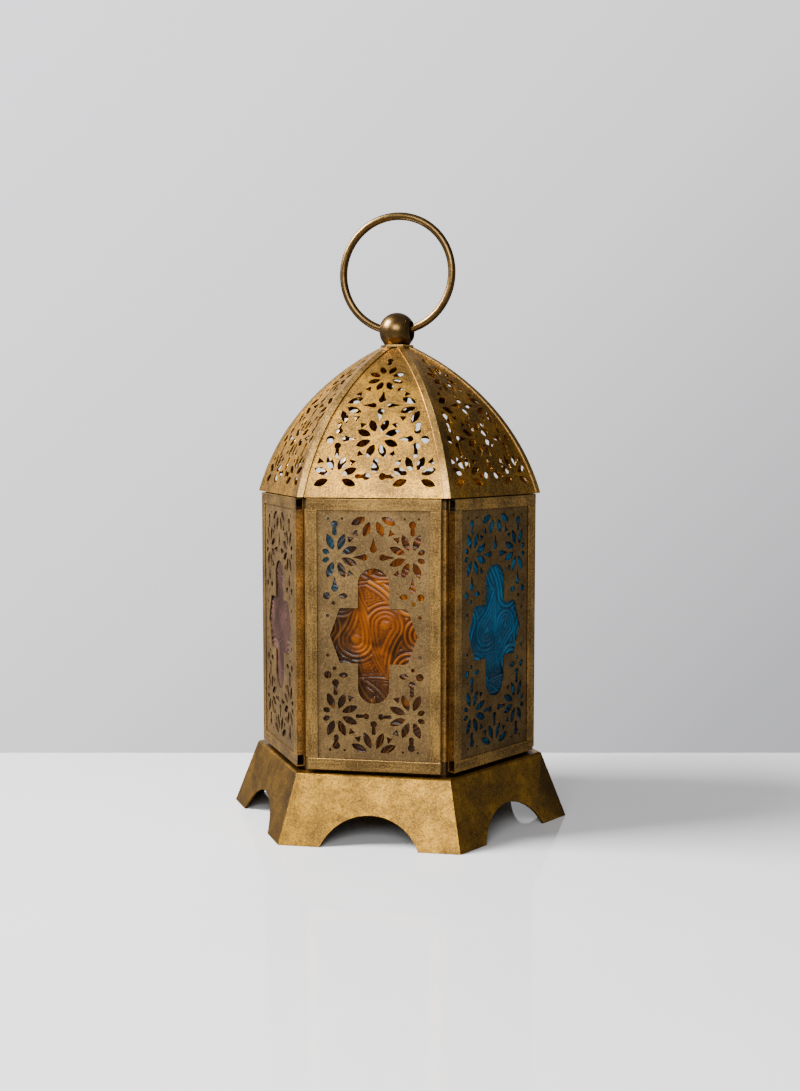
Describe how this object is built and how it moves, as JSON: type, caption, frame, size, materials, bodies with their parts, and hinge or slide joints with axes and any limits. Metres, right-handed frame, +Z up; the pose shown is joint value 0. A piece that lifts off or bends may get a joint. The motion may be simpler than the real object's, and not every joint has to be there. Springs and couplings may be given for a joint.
{
  "type": "candle lantern",
  "caption": "Six-sided candle lantern with pierced brass panels, coloured glass, a ribbed dome, a rear door and a carry ring.",
  "frame": {"origin": "middle of the footprint, on the surface that the lantern stands on", "axes": "+Z up to the carry ring, -Y towards the front panel, +Y towards the hinged door"},
  "size_m": [0.1444, 0.125, 0.2517],
  "materials": {
    "base_brass": "antique satin",
    "frame_brass": "brushed antique",
    "filigree_brass": "dull antique",
    "roof_brass": "antique satin",
    "rib_brass": "worn bright",
    "dark_brass": "darkened",
    "fitting_brass": "antique satin",
    "ring_brass": "satin",
    "steel": "plain",
    "amber_glass": "pressed relief",
    "blue_glass": "pressed relief",
    "violet_glass": "pressed relief"
  },
  "bodies": {
    "lantern": {"base_front": "base_brass", "base_front_right": "base_brass", "base_rear_right": "base_brass", "base_rear": "base_brass", "base_rear_left": "base_brass", "base_front_left": "base_brass", "floor_plate": "dark_brass", "candle_cup": "fitting_brass", "bottom_rail": "dark_brass", "top_rail": "dark_brass", "post_front_right": "dark_brass", "post_right": "dark_brass", "post_rear_right": "dark_brass", "post_rear_left": "dark_brass", "post_left": "dark_brass", "post_front_left": "dark_brass", "frame_front": "frame_brass", "frame_front_right": "frame_brass", "frame_rear_right": "frame_brass", "frame_rear_left": "frame_brass", "frame_front_left": "frame_brass", "filigree_front": "filigree_brass", "filigree_front_right": "filigree_brass", "filigree_rear_right": "filigree_brass", "filigree_rear_left": "filigree_brass", "filigree_front_left": "filigree_brass", "glass_front": "amber_glass", "glass_front_right": "blue_glass", "glass_rear_right": "violet_glass", "glass_rear_left": "blue_glass", "glass_front_left": "violet_glass", "gore_front": "roof_brass", "gore_front_right": "roof_brass", "gore_rear_right": "roof_brass", "gore_rear": "roof_brass", "gore_rear_left": "roof_brass", "gore_front_left": "roof_brass", "rib_front_right": "rib_brass", "rib_right": "rib_brass", "rib_rear_right": "rib_brass", "rib_rear_left": "rib_brass", "rib_left": "rib_brass", "rib_front_left": "rib_brass", "apex_plate": "rib_brass", "finial_stud": "steel", "finial_nut": "steel", "hinge_post_leaves": "fitting_brass", "hinge_pins": "steel", "hinge_post_rivets": "fitting_brass", "button_pivot": "fitting_brass"},
    "door": {"door_frame": "frame_brass", "door_filigree": "filigree_brass", "door_glass": "amber_glass", "hinge_door_leaves": "fitting_brass", "hinge_door_rivets": "fitting_brass", "door_pull": "fitting_brass"},
    "button": {"turn_button": "fitting_brass"},
    "finial": {"finial_ball": "ring_brass"},
    "ring": {"carry_ring": "ring_brass"}
  },
  "joints": [
    {"name": "door_hinge", "type": "hinge", "parent": "lantern", "child": "door", "pos_m": [0.03019, 0.0523, 0.0815], "axis": [0, 0, -1], "range_deg": [0, 170]},
    {"name": "button_turn", "type": "hinge", "parent": "lantern", "child": "button", "pos_m": [-0.0292, 0.05058, 0.097], "axis": [-0.5, 0.866, 0], "range_deg": [-90, 90]},
    {"name": "finial_swivel", "type": "hinge", "parent": "lantern", "child": "finial", "pos_m": [0, 0, 0.2029], "axis": [0, 0, 1], "continuous": true},
    {"name": "ring_swing", "type": "hinge", "parent": "finial", "child": "ring", "pos_m": [0, 0, 0.2029], "axis": [0.9925, -0.1219, 0], "range_deg": [-120, 120]}
  ]
}
